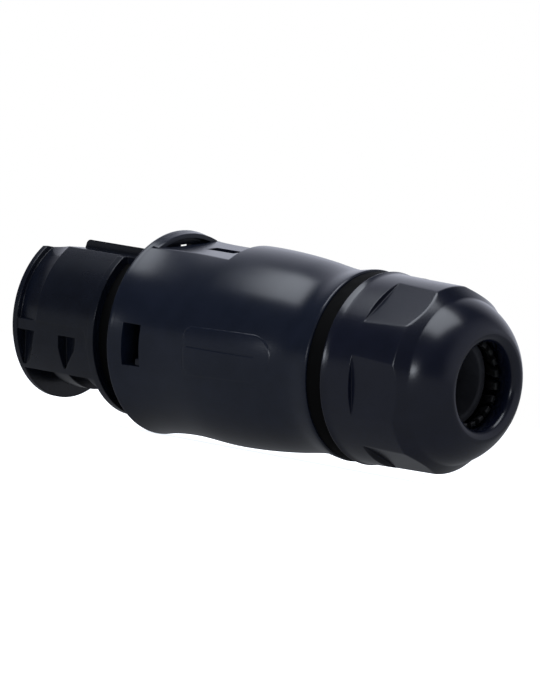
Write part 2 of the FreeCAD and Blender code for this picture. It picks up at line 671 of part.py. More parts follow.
def contact():
    """Turned socket: slotted sleeve, shank, flange and wire barrel with a screw hole."""
    z = POLE_CIRCLE_R
    metal = rod(SOCKET_X, SHANK_X, SOCKET_R, 0, z)
    for piece in (rod(SHANK_X, FLANGE_X, SHANK_R, 0, z), rod(FLANGE_X, BLOCK_END, FLANGE_R, 0, z),
                  rod(BLOCK_END, BARREL_END, BARREL_R, 0, z)):
        metal = metal.fuse(piece)
    metal = metal.cut(rod(SOCKET_X - PAST, SOCKET_X + SOCKET_DEEP, PIN_R, 0, z))
    metal = metal.cut(rod(BARREL_END - WIRE_DEEP, BARREL_END + PAST, WIRE_R, 0, z))
    across = SOCKET_R + PAST
    half = SOCKET_SLOT / 2
    slot_end = SOCKET_X + SOCKET_SLOT_LONG
    metal = metal.cut(block(SOCKET_X - PAST, slot_end, -across, across, z - half, z + half))
    metal = metal.cut(block(SOCKET_X - PAST, slot_end, -half, half, z - across, z + across))
    tapped = Part.makeCylinder(SCREW_R + SEAT_FIT, BARREL_R + PAST, V(SCREW_X, 0, z), V(0, 0, 1))
    return metal.cut(tapped).removeSplitter()


def spring():
    """Open spring band round the slotted sleeve."""
    z = POLE_CIRCLE_R
    inner = SOCKET_R + SEAT_FIT
    end = SPRING_X + SPRING_LONG
    band = rod(SPRING_X, end, inner + SPRING_THICK, 0, z)
    band = band.cut(rod(SPRING_X - PAST, end + PAST, inner, 0, z))
    half_gap = SOCKET_R * math.radians(SPRING_GAP_DEG / 2)
    return band.cut(block(SPRING_X - PAST, end + PAST, -half_gap, half_gap, z - SHANK_R - PAST, z))


def screw():
    """Terminal screw with a slotted cheese head, its tip on the wire guard."""
    z = POLE_CIRCLE_R
    tip = z + WIRE_R - GUARD_THICK
    seat = z + BARREL_R
    up = V(0, 0, 1)
    body = Part.makeCylinder(SCREW_R, seat - tip, V(SCREW_X, 0, tip), up)
    head = Part.makeCylinder(SCREW_HEAD_R, SCREW_HEAD_HIGH, V(SCREW_X, 0, seat), up)
    top = seat + SCREW_HEAD_HIGH
    slot = block(SCREW_X - SCREW_HEAD_R, SCREW_X + SCREW_HEAD_R, -SCREW_SLOT / 2, SCREW_SLOT / 2,
                 top - SCREW_HEAD_HIGH / 2, top + PAST)
    return body.fuse(head).removeSplitter().cut(slot)


def wire_guard():
    """Leaf under the screw's tip with a lip bent over the end of the barrel."""
    top = POLE_CIRCLE_R + WIRE_R - GUARD_THICK
    start = SCREW_X - GUARD_BEFORE_SCREW
    end = BARREL_END + SEAT_FIT
    leaf = block(start, end + GUARD_THICK, -GUARD_HALF, GUARD_HALF, top - GUARD_THICK, top)
    lip = block(end, end + GUARD_THICK, -GUARD_HALF, GUARD_HALF, top - GUARD_THICK,
                POLE_CIRCLE_R + BARREL_R - EDGE)
    return leaf.fuse(lip).removeSplitter()


def parts():
    """Every piece of the connector by name."""
    block_o_r = (BLOCK_R + BLOCK_REAR_R + SLIDE_FIT) / 2
    insert_o_r = CHAMBER_R - O_RING_R - SEAT_FIT
    pieces = {
        "housing": housing(),
        "coupling_insert": coupling_insert(),
        "coupling_seal": coupling_seal(),
        "contact_face": contact_face(),
        "contact_block": contact_block(),
        "block_retainer": block_retainer(),
        "block_o_ring": torus(BLOCK_SHOULDER_X + BLOCK_O_LONG / 2, block_o_r, BLOCK_O_RING_R),
        "insert_o_ring": torus(INSERT_O_X + O_GROOVE_LONG / 2, insert_o_r, O_RING_R),
        "nut_seal": nut_seal(),
        "gland_nut": gland_nut(),
        "clamping_cage": clamping_cage(),
        "cable_seal": cable_seal(),
    }
    for pole, angle in POLES.items():
        pieces[pole + "_contact"] = on_pole(contact(), angle)
        pieces[pole + "_spring"] = on_pole(spring(), angle)
        pieces[pole + "_screw"] = on_pole(screw(), angle)
        pieces[pole + "_wire_guard"] = on_pole(wire_guard(), angle)
    return pieces


os.makedirs("parts", exist_ok=True)
for name, shape in parts().items():
    shape = about_axis(shape, -KEY_TILT)
    solids = shape.Solids
    print(name, "solids", len(solids), "valid", shape.isValid(), "volume", round(shape.Volume, 1))
    whole = solids[0] if len(solids) == 1 else Part.Compound(solids)
    whole.exportStep("parts/" + name + ".step")
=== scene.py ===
import math

import bpy
import numpy as np
from mathutils import Matrix, Vector


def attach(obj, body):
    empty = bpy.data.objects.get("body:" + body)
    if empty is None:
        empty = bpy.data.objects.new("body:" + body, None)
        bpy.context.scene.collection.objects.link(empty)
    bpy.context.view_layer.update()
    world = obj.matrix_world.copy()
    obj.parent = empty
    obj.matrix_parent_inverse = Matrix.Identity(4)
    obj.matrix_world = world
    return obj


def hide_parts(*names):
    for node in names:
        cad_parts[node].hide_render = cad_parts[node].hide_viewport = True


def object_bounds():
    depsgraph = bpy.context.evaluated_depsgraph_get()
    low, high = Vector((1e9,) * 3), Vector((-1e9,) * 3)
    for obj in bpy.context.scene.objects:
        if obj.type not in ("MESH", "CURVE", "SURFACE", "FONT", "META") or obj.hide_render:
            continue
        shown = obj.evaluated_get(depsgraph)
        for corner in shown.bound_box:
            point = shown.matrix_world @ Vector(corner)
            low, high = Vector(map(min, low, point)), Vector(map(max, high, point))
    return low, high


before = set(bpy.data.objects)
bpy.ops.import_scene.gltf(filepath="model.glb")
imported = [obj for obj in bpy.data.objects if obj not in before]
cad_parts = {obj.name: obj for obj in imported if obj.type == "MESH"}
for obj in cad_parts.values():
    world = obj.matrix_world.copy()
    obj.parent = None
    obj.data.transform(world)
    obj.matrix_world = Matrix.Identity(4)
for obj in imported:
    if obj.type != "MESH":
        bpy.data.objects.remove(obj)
cad_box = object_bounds()


# Surfaces: stations x and radii r are in millimetres; angles are in degrees from the side of
# one window over the top of the barrel, whose flat leans from upright by LEAN

MM = 0.001
TOP, LEAN = 90.0, 12.0
LEAST_SLANT, FAR_R = 0.2, 1000.0
COLUMN_STEP, COLUMN_GAP = 2.0, 0.2


def smooth_step(t):
    """0 below 0, 1 above 1 and 3 t^2 - 2 t^3 between."""
    t = np.clip(t, 0.0, 1.0)
    return t * t * (3 - 2 * t)


def soft_least(a, b, width):
    """The smaller of two fields, rounded where they cross: -w log(exp(-a/w) + exp(-b/w))."""
    return -width * np.logaddexp(-a / width, -b / width)


def cubic_chain(x, knots):
    """Radius at x on the cubics through (x, r, slope) knots, by each span's Hermite weights."""
    stations, radii, slopes = np.array(knots).T
    span = np.clip(np.searchsorted(stations, x, side="right") - 1, 0, len(knots) - 2)
    long = stations[span + 1] - stations[span]
    t = (x - stations[span]) / long
    high = 3 * t ** 2 - 2 * t ** 3
    swing = t ** 3 - t ** 2
    return ((1 - high) * radii[span] + high * radii[span + 1]
            + long * ((swing - t ** 2 + t) * slopes[span] + swing * slopes[span + 1]))


def plane_r(distance, angles, centre):
    """Radius at which the ray at an angle meets a plane, distance / cos(angle - centre), or far."""
    slant = np.cos(np.radians(angles - centre))
    return np.where(slant > LEAST_SLANT, distance / np.maximum(slant, LEAST_SLANT), FAR_R)


def place(x, r, angles):
    """Points (x, -r cos a, r sin a) for stations, radii and angles, a less the lean."""
    x, r, turn = np.broadcast_arrays(x, r, np.radians(angles - LEAN))
    return np.stack([x, -r * np.cos(turn), r * np.sin(turn)], axis=-1)


def steps(start, end, size):
    """Evenly spaced values from start to end, both included, about a size apart."""
    return np.linspace(start, end, max(2, int(round(abs(end - start) / size)) + 1))


def joined(*runs):
    """Runs of values as one rising row without repeats."""
    return np.unique(np.round(np.concatenate([np.atleast_1d(run) for run in runs]), 4))


def columns(exact, fine):
    """Angles all round: even ones and finer runs, kept a gap off the exact angles added last."""
    loose = joined(np.arange(-180.0, 180.0, COLUMN_STEP), *fine)
    exact = np.asarray(exact, dtype=float)
    if len(exact):
        loose = loose[np.abs(loose[:, None] - exact[None, :]).min(axis=1) > COLUMN_GAP]
    return joined(loose, exact)


def quarter(x, r, radius, start, end, count=5):
    """Rounded corner of a section: points on a circle about (x, r) between two directions."""
    turn = np.radians(np.linspace(start, end, count))
    return np.column_stack([x + radius * np.cos(turn), r + radius * np.sin(turn)])


def skin(name, surface, material, body, sharp=35.0):
    """Piece from points in millimetres and four-cornered faces, smooth up to an angle."""
    points, quads = surface
    used, quads = np.unique(quads, return_inverse=True)
    quads = quads.reshape(-1, 4)
    mesh = bpy.data.meshes.new(name)
    mesh.vertices.add(len(used))
    mesh.vertices.foreach_set("co", (points[used] * MM).astype(np.float32).ravel())
    mesh.loops.add(quads.size)
    mesh.loops.foreach_set("vertex_index", quads.astype(np.int32).ravel())
    mesh.polygons.add(len(quads))
    mesh.polygons.foreach_set("loop_start", np.arange(0, quads.size, 4, dtype=np.int32))
    mesh.polygons.foreach_set("use_smooth", np.ones(len(quads), dtype=bool))
    mesh.update(calc_edges=True)
    mesh.validate()
    mesh.set_sharp_from_angle(angle=math.radians(sharp))
    mesh.materials.append(material)
    piece = bpy.data.objects.new(name, mesh)
    bpy.context.scene.collection.objects.link(piece)
    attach(piece, body)
    return piece


def shell_faces(keep, wrap):
    """Faces of a closed skin between an outer and an inner grid of points, outer first.

    A kept cell gets an outer and an inner face, and a wall wherever the kept cells end.
    """
    rows, count = keep.shape[0] + 1, keep.shape[1] + (0 if wrap else 1)
    inner = rows * count
    whole = np.arange(inner).reshape(rows, count)
    after = np.roll(whole, -1, axis=1)
    index = whole
    if not wrap:
        index, after = whole[:, :-1], after[:, :-1]
    cells = np.stack([index[:-1], index[1:], after[1:], after[:-1]], -1)[keep]
    none = np.zeros((1, keep.shape[1]), bool)
    ahead, behind = np.vstack([keep, none]), np.vstack([none, keep])
    across = np.stack([index, after, after + inner, index + inner], -1)
    if wrap:
        right, left = keep, np.roll(keep, 1, axis=1)
    else:
        none = np.zeros((keep.shape[0], 1), bool)
        right, left = np.hstack([keep, none]), np.hstack([none, keep])
    p, q = whole[:-1], whole[1:]
    along = np.stack([p, p + inner, q + inner, q], -1)
    return np.concatenate([cells, cells[:, ::-1] + inner,
                           across[ahead & ~behind], across[behind & ~ahead][:, ::-1],
                           along[right & ~left], along[left & ~right][:, ::-1]])


def shell(outer, inner, keep=None, wrap=True):
    """Closed skin between two (rows, columns, 3) surfaces, open where cells aren't kept."""
    rows, count = outer.shape[:2]
    if keep is None:
        keep = np.ones((rows - 1, count if wrap else count - 1), bool)
    return np.concatenate([outer.reshape(-1, 3), inner.reshape(-1, 3)]), shell_faces(keep, wrap)


def turned(profile, angles, shape=None):
    """Closed (x, r) profile swept round the axis; shape(x, r, a) may change its radii."""
    x = profile[:, :1]
    r = profile[:, 1:] + 0 * angles[None, :]
    if shape is not None:
        r = shape(x, r, angles[None, :])
    index = np.arange(r.size).reshape(r.shape)
    down = np.roll(index, -1, axis=0)
    faces = np.stack([index, down, np.roll(down, -1, axis=1), np.roll(index, -1, axis=1)], -1)
    return place(x, r, angles[None, :]).reshape(-1, 3), faces.reshape(-1, 4)


def together(*parts):
    """Several surfaces as one."""
    starts = np.cumsum([0] + [len(points) for points, _ in parts])
    return (np.concatenate([points for points, _ in parts]),
            np.concatenate([faces + start for (_, faces), start in zip(parts, starts)]))


# Housing

BARREL = ((25.95, 18.35, -0.22), (36.0, 17.40, 0.0), (45.8, 17.86, 0.0), (58.0, 17.13, -0.115),
          (65.5, 16.3, 0.0), (70.0, 16.9, 0.10))
FRONT_X, ARCH_X, LIP_X, REAR_X = 25.65, 26.8, 28.0, 70.3
CHAMBER_R = 14.6
FLAT_Z, FLAT_END, STEP_RISE, STEP_HALF = 16.05, 44.3, 4.0, 0.12
LIP_INNER_R, LIP_ANGLE, LIP_ROUND_R = 17.15, 26.3, 0.12
SLOT_HALF, SLOT_EDGE_R, SLOT_TOP, SLOT_LEAN, SLOT_END = 5.5, 16.97, 14.15, 102.0, 28.6
NOTCH_FROM, NOTCH_TO, NOTCH_TOP = -0.6, 2.25, 15.9
HOLE, HOLE_HALF = (33.5, 39.8), 1.45
WINDOW, WINDOW_ANGLE = (28.7, 32.5), 12.23
CORNER, SOFT = 0.3, 0.03
SPIGOT_R, SPIGOT_BORE_R, PASSAGE_R, SPIGOT_END = 12.3, 10.4, 8.6, 84.5
CHAMBER_END, PASSAGE_X, SHELF_X, REAR_R = 62.0, 70.0, 75.5, 16.6
THREAD_X, THREAD_PITCH, THREAD_DEPTH, THREAD_FADE = 74.0, 1.5, 0.6, 0.8
FLANK_SLOPE, CREST = 1.6, 0.3

SLOT_ANGLE = math.degrees(math.asin(SLOT_HALF / SLOT_EDGE_R))
HOLE_ANGLE = math.degrees(math.atan(HOLE_HALF / FLAT_Z))
NOTCH_START = math.degrees(math.atan2(NOTCH_TOP, -NOTCH_FROM))
NOTCH_STOP = math.degrees(math.atan2(NOTCH_TOP, -NOTCH_TO))
SIDE_ANGLES = [-WINDOW_ANGLE, WINDOW_ANGLE, 180 - WINDOW_ANGLE, WINDOW_ANGLE - 180]
TOP_ANGLES = [TOP + side * angle for side in (-1, 1)
              for angle in (SLOT_ANGLE, HOLE_ANGLE, LIP_ANGLE)]
NOTCH_ANGLES = [NOTCH_START - SOFT, NOTCH_START + SOFT, NOTCH_STOP - SOFT, NOTCH_STOP + SOFT]
BARREL_ANGLES = columns(SIDE_ANGLES + TOP_ANGLES + NOTCH_ANGLES,
                        [np.arange(60.0, 120.0, 1.0), np.arange(61.4, 68.6, 0.35),
                         np.arange(111.4, 118.6, 0.35)])


def barrel_r(x, angles):
    """Outer radius: the barrel's line, softly cut by the flat, whose rear end is a steep step."""
    lift = STEP_RISE * smooth_step((x - FLAT_END + STEP_HALF) / (2 * STEP_HALF))
    line = cubic_chain(np.minimum(x, REAR_X - CORNER), BARREL)
    cut = soft_least(line, plane_r(FLAT_Z + lift, angles, TOP), SOFT)
    return np.where(x < FLAT_END + 1, cut, line)


def spigot_r(x, angles):
    """Spigot radius less a thread: a rounded groove one pitch long that climbs with the angle."""
    wave = np.abs(2 * ((x / THREAD_PITCH + angles / 360.0) % 1.0) - 1)
    fade = smooth_step((x - THREAD_X) / THREAD_FADE) * smooth_step((SPIGOT_END - x) / THREAD_FADE)
    return SPIGOT_R - THREAD_DEPTH * fade * smooth_step(FLANK_SLOPE * wave - CREST)


OUTER_MARKS = (-180, -167.77, -90, -12.23, 12.23, 60, 71.1, 84.84, 95.16, 108.9, 120, 167.77, 180)
INNER_MARKS = (-180, -165.1, -90, -14.9, 14.9, 58, 67.9, 84.3, 95.7, 112.1, 122, 165.1, 180)


def inner_angle(angles):
    """Angle inside for an angle outside, so that windows, hole and slot have square walls."""
    return np.interp(angles, OUTER_MARKS, INNER_MARKS)


def barrel():
    """Barrel behind the arch, its rear face and the spigot, with window, hole and slot open."""
    angles = BARREL_ANGLES
    line_x = joined(steps(ARCH_X, SLOT_END, 0.3), steps(*WINDOW, 0.8), steps(*HOLE, 0.8),
                    steps(HOLE[1], FLAT_END - 0.4, 0.8),
                    steps(FLAT_END - 0.2, FLAT_END + 0.2, 0.04),
                    steps(FLAT_END + 0.7, REAR_X - CORNER, 0.7))
    edge = quarter(REAR_X - CORNER, REAR_R, CORNER, 90, 0)[1:]
    face = np.array([(REAR_X, 15.0), (REAR_X, SPIGOT_R + 0.02)])
    screw_x = joined(steps(REAR_X + 0.02, THREAD_X - 0.1, 1.2),
                     steps(THREAD_X, SPIGOT_END - 0.3, 0.15))
    x = np.concatenate([line_x, edge[:, 0], face[:, 0], screw_x, [SPIGOT_END]])[:, None]
    flange = np.concatenate([edge[:, 1], face[:, 1]])[:, None] + 0 * angles
    r = np.concatenate([barrel_r(line_x[:, None], angles), flange,
                        spigot_r(screw_x[:, None], angles), [SPIGOT_R - 0.4 + 0 * angles]])
    way = np.linspace(0, 1, int((x > CHAMBER_END).sum()))
    marks = [0.0, 0.3, 0.5, 0.52, 1.0]
    rear_x = np.interp(way, marks, [CHAMBER_END, PASSAGE_X, SHELF_X, SHELF_X + 0.02, SPIGOT_END])
    rear_r = np.interp(way, marks, [CHAMBER_R, PASSAGE_R, PASSAGE_R, SPIGOT_BORE_R, SPIGOT_BORE_R])
    fore = x[:len(x) - len(way), 0]
    inner_x = np.concatenate([fore, rear_x])[:, None]
    inner_r = np.concatenate([np.full(len(fore), CHAMBER_R), rear_r])[:, None]
    middle_x = (x[:-1] + x[1:]) / 2
    middle = ((angles + np.append(angles[1:], angles[0] + 360)) / 2)[None, :]
    beside = np.minimum(np.abs(middle), 180 - np.abs(middle)) < WINDOW_ANGLE
    window = (middle_x > WINDOW[0]) & (middle_x < WINDOW[1]) & beside
    hole = (middle_x > HOLE[0]) & (middle_x < HOLE[1]) & (np.abs(middle - TOP) < HOLE_ANGLE)
    slot = (middle_x < SLOT_END) & (np.abs(middle - TOP) < SLOT_ANGLE)
    inner = place(inner_x, inner_r, inner_angle(angles))
    return shell(place(x, r, angles), inner, ~(window | hole | slot))


def front_ring():
    """Ring before the flat: its inside is the chamber, or the slot's roof, or the notch over it."""
    angles = BARREL_ANGLES
    edge = quarter(FRONT_X + CORNER, BARREL[0][1] - CORNER, CORNER, 180, 90)[:-1]
    line_x = steps(FRONT_X + CORNER, ARCH_X, 0.28)
    x = np.concatenate([edge[:, 0], line_x])[:, None]
    outer = np.concatenate([edge[:, 1], cubic_chain(line_x, BARREL)])[:, None]
    side = SLOT_HALF / np.maximum(np.abs(np.cos(np.radians(angles))), SOFT)
    roof = np.minimum(side, plane_r(SLOT_TOP, angles, SLOT_LEAN))
    inner = np.where(np.abs(angles - TOP) < 60, np.maximum(CHAMBER_R, roof), CHAMBER_R)
    notch = (angles > NOTCH_START) & (angles < NOTCH_STOP)
    inner = np.where(notch, plane_r(NOTCH_TOP, angles, TOP), inner)
    return shell(place(x, outer, angles), place(x, inner, angles))


def arch_lip():
    """Thin lip of the arch over the flat, with a rounded rear edge."""
    angles = BARREL_ANGLES[np.abs(BARREL_ANGLES - TOP) < LIP_ANGLE + SOFT]
    line_x = steps(ARCH_X, LIP_X - LIP_ROUND_R, 0.27)
    crest = cubic_chain(np.array([LIP_X]), BARREL)[0]
    tip = quarter(LIP_X - LIP_ROUND_R, crest - LIP_ROUND_R, LIP_ROUND_R, 75, 0, 4)
    x = np.concatenate([line_x, tip[:, 0]])[:, None]
    r = np.concatenate([cubic_chain(line_x, BARREL), tip[:, 1]])[:, None] + 0 * angles
    under = np.maximum(LIP_INNER_R, plane_r(FLAT_Z, angles, TOP))
    return shell(place(x, r, angles), place(x, np.minimum(under, r - 0.01), angles), wrap=False)


PANEL_X, PANEL_HALF_LONG, PANEL_HALF_HIGH = 52.2, 9.8, 4.4
PANEL_ANGLE, PANEL_RISE, PANEL_EDGE, PANEL_SUNK = 3.4, 0.1, 0.22, 0.04
PANEL_R, PANEL_SKEW, PANEL_BOW, LEFT_CORNER, RIGHT_CORNER = 17.6, 0.12, 0.016, 1.3, 4.0
DIVIDER_ANGLE, DIVIDER, DIVIDER_HALF = 5.2, (43.6, 58.7), 0.2
END_GROOVE_IN, END_GROOVE_HALF, END_GROOVE_LONG = 0.5, 0.4, 1.6
GROOVE_DEPTH, GROOVE_FADE = 0.09, 0.3
PATCH_X, PATCH_ANGLES, PATCH_THICK = (41.4, 63.0), (-14.5, 22.0), 0.5


def marking_panel():
    """Bare raised panel on the near side, on the barrel's own curve.

    Its height is a smooth step of the distance inside a box with two rounded ends, laid in
    station and arc length, less narrow grooves along the dividing line and the left end.
    """
    x = steps(*PATCH_X, 0.13)[:, None]
    angles = np.linspace(*PATCH_ANGLES, 100)
    base = cubic_chain(x, BARREL)
    along = x - PANEL_X
    up = np.radians(angles - PANEL_ANGLE - PANEL_SKEW * along) * PANEL_R
    corner = np.where(along > 0, RIGHT_CORNER, LEFT_CORNER)
    out_x = np.abs(along) + PANEL_BOW * up ** 2 - PANEL_HALF_LONG + corner
    out_y = np.abs(up) - PANEL_HALF_HIGH + corner
    outside = np.hypot(np.maximum(out_x, 0), np.maximum(out_y, 0))
    away = outside + np.minimum(np.maximum(out_x, out_y), 0) - corner
    rise = smooth_step(-away / PANEL_EDGE)
    beside = np.abs(np.radians(angles - DIVIDER_ANGLE)) * PANEL_R
    divider = (smooth_step(1 - beside / DIVIDER_HALF)
               * smooth_step((x - DIVIDER[0]) / GROOVE_FADE)
               * smooth_step((DIVIDER[1] - x) / GROOVE_FADE))
    left_end = (smooth_step(1 - np.abs(away + END_GROOVE_IN) / END_GROOVE_HALF)
                * smooth_step((-along - PANEL_HALF_LONG + END_GROOVE_LONG) / GROOVE_FADE))
    raised = (PANEL_RISE + PANEL_SUNK) * rise
    outer = base - PANEL_SUNK + raised - GROOVE_DEPTH * np.maximum(divider, left_end) * rise
    return shell(place(x, outer, angles), place(x, base - PATCH_THICK, angles), wrap=False)


# Gland nut, cage and rubber

NUT_X, NUT_TURN, FLAT_DISTANCE = 73.6, -2.7, 15.7
FLAT_STEP_X, FLAT_STEP_RISE, FLAT_STEP_HALF = 79.7, 3.0, 0.11
FLAT_HALF_ANGLE, FINE_HALF_ANGLE = 18.0, 2.6
NUT_FRONT_R, NUT_R, FLARE_X, DRAFT_END = 17.0, 16.7, 75.0, 88.0
CHAMFER = ((88.5, 16.41, -0.05), (88.95, 16.28, -0.75), (91.0, 14.64, -0.85))
DOME_X, DOME_RISE, DOME_R, DOME_START_R = 87.0, 3.5, 11.8, 14.45
ENTRY_R, LIP_R = 7.69, 1.5
CONE_END, CONE_START, RELIEF_R = 94.3, 89.09, 10.9
NUT_BORE_R, NUT_THREAD_END = 12.38, 85.0


def nut_profile():
    """Half section of the nut: flare, draft, chamfer, dome and lip, then cone, relief and bore."""
    collar = quarter(NUT_X + CORNER, NUT_FRONT_R - CORNER, CORNER, 180, 90)
    flare_x = steps(NUT_X + CORNER, FLARE_X, 0.18)[1:-1]
    flare = cubic_chain(flare_x, ((NUT_X + CORNER, NUT_FRONT_R, -0.5), (FLARE_X, NUT_R, -0.02)))
    chamfer_x = CHAMFER[0][0]
    before, after = FLAT_STEP_X - 0.3, FLAT_STEP_X + 0.3
    draft_x = joined(steps(FLARE_X, before, 0.7), steps(before, after, 0.04),
                     steps(after, DRAFT_END, 0.7), steps(DRAFT_END, chamfer_x, 0.1))
    draft = np.interp(draft_x, [FLARE_X, chamfer_x], [NUT_R, CHAMFER[0][1]])
    slope_x = steps(chamfer_x, CHAMFER[-1][0], 0.1)[1:]
    lip_rise = ENTRY_R + LIP_R - DOME_RISE
    lip_x = DOME_X + math.sqrt((DOME_R - LIP_R) ** 2 - lip_rise ** 2)
    meet = math.degrees(math.atan2(lip_rise, lip_x - DOME_X))
    dome_r = np.linspace(DOME_START_R, DOME_RISE + DOME_R * math.sin(math.radians(meet)), 34)
    dome_x = DOME_X + np.sqrt(DOME_R ** 2 - (dome_r - DOME_RISE) ** 2)
    lip = quarter(lip_x, ENTRY_R + LIP_R, LIP_R, meet, -90, 15)[1:]
    inside = np.array([(CONE_END, ENTRY_R), (CONE_START, RELIEF_R), (NUT_THREAD_END, RELIEF_R),
                       (NUT_THREAD_END, NUT_BORE_R), (NUT_X + CORNER, NUT_BORE_R),
                       (NUT_X, NUT_BORE_R + CORNER)])
    runs = ((flare_x, flare), (draft_x, draft), (slope_x, cubic_chain(slope_x, CHAMFER)),
            (dome_x, dome_r))
    return np.concatenate([collar, *map(np.column_stack, runs), lip, inside])


def spanner_flats(x, r, angles):
    """Radius softly cut by six planes at one distance, which begin with a step at a station."""
    near = (angles - NUT_TURN + 30) % 60 - 30
    passed = smooth_step((x - FLAT_STEP_X + FLAT_STEP_HALF) / (2 * FLAT_STEP_HALF))
    lift = FLAT_STEP_RISE * (1 - passed)
    return soft_least(r, plane_r(FLAT_DISTANCE + lift, near, 0.0), SOFT)


def nut_angles():
    """Angles round the nut, finer where the flats meet the round."""
    fine = np.arange(-FINE_HALF_ANGLE, FINE_HALF_ANGLE, 0.4)
    edges = [NUT_TURN + 60.0 * turn + side + fine
             for turn in range(-3, 3) for side in (-FLAT_HALF_ANGLE, FLAT_HALF_ANGLE)]
    return columns([], [(run + 180) % 360 - 180 for run in edges])


def ring_profile(x0, x1, r0, r1, soft):
    """Rectangular half section with its outer corners rounded."""
    front = quarter(x0 + soft, r1 - soft, soft, 180, 90)
    rear = quarter(x1 - soft, r1 - soft, soft, 90, 0)
    return np.concatenate([front, rear, np.array([(x1, r0), (x0, r0)])])


def sleeve_profile():
    """Half section of the cable seal: flange, sleeve, tapered end with a round mouth, bore."""
    outside = np.array([(75.5, 6.7), (75.5, 10.1), (75.7, 10.3), (78.8, 10.3), (79.0, 10.1),
                        (79.0, 9.2), (86.0, 9.2), (88.2, 8.55), (89.9, 8.0)])
    mouth = [quarter(89.9, 7.6, 0.4, 80, 0), quarter(89.9, 6.9, 0.4, 0, -90, 6)]
    bore = np.array([(84.0, 6.5), (75.7, 6.5)])
    return np.concatenate([outside, *mouth, bore])


FINGERS, FINGER_SLOT, FINGER_X = 20, 1.0, 84.0
FINGER_OUTER = np.array([(79.0, 10.3), (81.5, 10.3), (FINGER_X, 10.3), (87.0, 10.3), (89.1, 10.3),
                         (89.5, 10.17), (90.4, 9.6), (91.6, 8.86), (92.8, 8.12), (93.25, 7.8),
                         (93.5, 7.5)])
FINGER_INNER = np.array([(79.0, 9.3), (81.5, 9.3), (FINGER_X, 9.3), (86.8, 9.3), (88.7, 9.3),
                         (89.1, 9.1), (90.0, 8.55), (91.2, 7.85), (92.4, 7.12), (93.0, 6.8),
                         (93.4, 6.9)])


def finger_cage():
    """Sleeve slit into fingers: each is two profiles apart, its width the pitch less the slit."""
    spread_out = np.array([-1.0, -0.85, 0.0, 0.85, 1.0])
    centres = (np.arange(FINGERS) + 0.5) * 360.0 / FINGERS - 180.0
    sides = []
    for profile in (FINGER_OUTER, FINGER_INNER):
        half = 180.0 / FINGERS - np.degrees(np.arcsin(FINGER_SLOT / 2 / profile[:, 1]))
        angles = centres[None, :, None] + half[:, None, None] * spread_out[None, None, :]
        sides.append(place(profile[:, :1], profile[:, 1:], angles.reshape(len(profile), -1)))
    keep = np.ones((len(FINGER_OUTER) - 1, FINGERS * len(spread_out)), bool)
    keep[2:, len(spread_out) - 1::len(spread_out)] = False
    return shell(sides[0], sides[1], keep)


SEAL_X, SEAL_LONG, SEAL_R, SEAL_INNER_R, SEAL_BEAD = 20.33, 5.02, 14.0, 13.42, 0.35
SEAL_LIP, SEAL_LIP_RISE, SEAL_LIP_FADE = (21.9, 23.8), 0.9, 0.5
PLINTH_HALF, PLINTH_EDGE_R = 7.5, 14.4
FLAT_SEAL_INNER_R, FLAT_SEAL_R, FLAT_SEAL_CORNER = 12.32, 16.6, 0.25


def lip_seal():
    """Soft ring with one raised lip, open at the top where the plinth of the bar passes."""
    gap = math.degrees(math.asin(PLINTH_HALF / PLINTH_EDGE_R))
    angles = np.linspace(TOP + gap, TOP + 360.0 - gap, 150)
    x = steps(SEAL_X, SEAL_X + SEAL_LONG, 0.12)[:, None]
    front = smooth_step((x - SEAL_LIP[0]) / SEAL_LIP_FADE)
    lip = front * smooth_step((SEAL_LIP[1] - x) / SEAL_LIP_FADE)
    bead = SEAL_BEAD * np.abs(np.cos(np.pi * (x - SEAL_X) / SEAL_LONG))
    outer = SEAL_R + bead + SEAL_LIP_RISE * lip
    return shell(place(x, outer, angles), place(x, SEAL_INNER_R, angles), wrap=False)


# Materials

def node_tree(name):
    """Empty material with its output and a Principled shader; returns the three."""
    material = bpy.data.materials.new(name)
    material.use_nodes = True
    tree = material.node_tree
    tree.nodes.clear()
    output = tree.nodes.new("ShaderNodeOutputMaterial")
    shader = tree.nodes.new("ShaderNodeBsdfPrincipled")
    tree.links.new(shader.outputs["BSDF"], output.inputs["Surface"])
    return material, tree, shader


def noise(tree, scale, detail, stretch=(1.0, 1.0, 1.0)):
    """Noise on Object coordinates, in features per metre, stretched along the axes."""
    where = tree.nodes.new("ShaderNodeTexCoord")
    mapping = tree.nodes.new("ShaderNodeMapping")
    mapping.inputs["Scale"].default_value = stretch
    texture = tree.nodes.new("ShaderNodeTexNoise")
    texture.inputs["Scale"].default_value = scale
    texture.inputs["Detail"].default_value = detail
    tree.links.new(where.outputs["Object"], mapping.inputs["Vector"])
    tree.links.new(mapping.outputs["Vector"], texture.inputs["Vector"])
    return texture.outputs["Fac"]


def spread(tree, value, low, high, start=0.3, end=0.7):
    """Maps a noise value from start..end to low..high."""
    ramp = tree.nodes.new("ShaderNodeMapRange")
    ramp.inputs["From Min"].default_value = start
    ramp.inputs["From Max"].default_value = end
    ramp.inputs["To Min"].default_value = low
    ramp.inputs["To Max"].default_value = high
    tree.links.new(value, ramp.inputs["Value"])
    return ramp.outputs["Result"]


def tint(tree, value, dark, light):
    """Colour between two, by a value from 0 to 1."""
    mix = tree.nodes.new("ShaderNodeMix")
    mix.data_type = "RGBA"
    mix.inputs["A"].default_value = (*dark, 1)
    mix.inputs["B"].default_value = (*light, 1)
    tree.links.new(value, mix.inputs["Factor"])
    return mix.outputs["Result"]


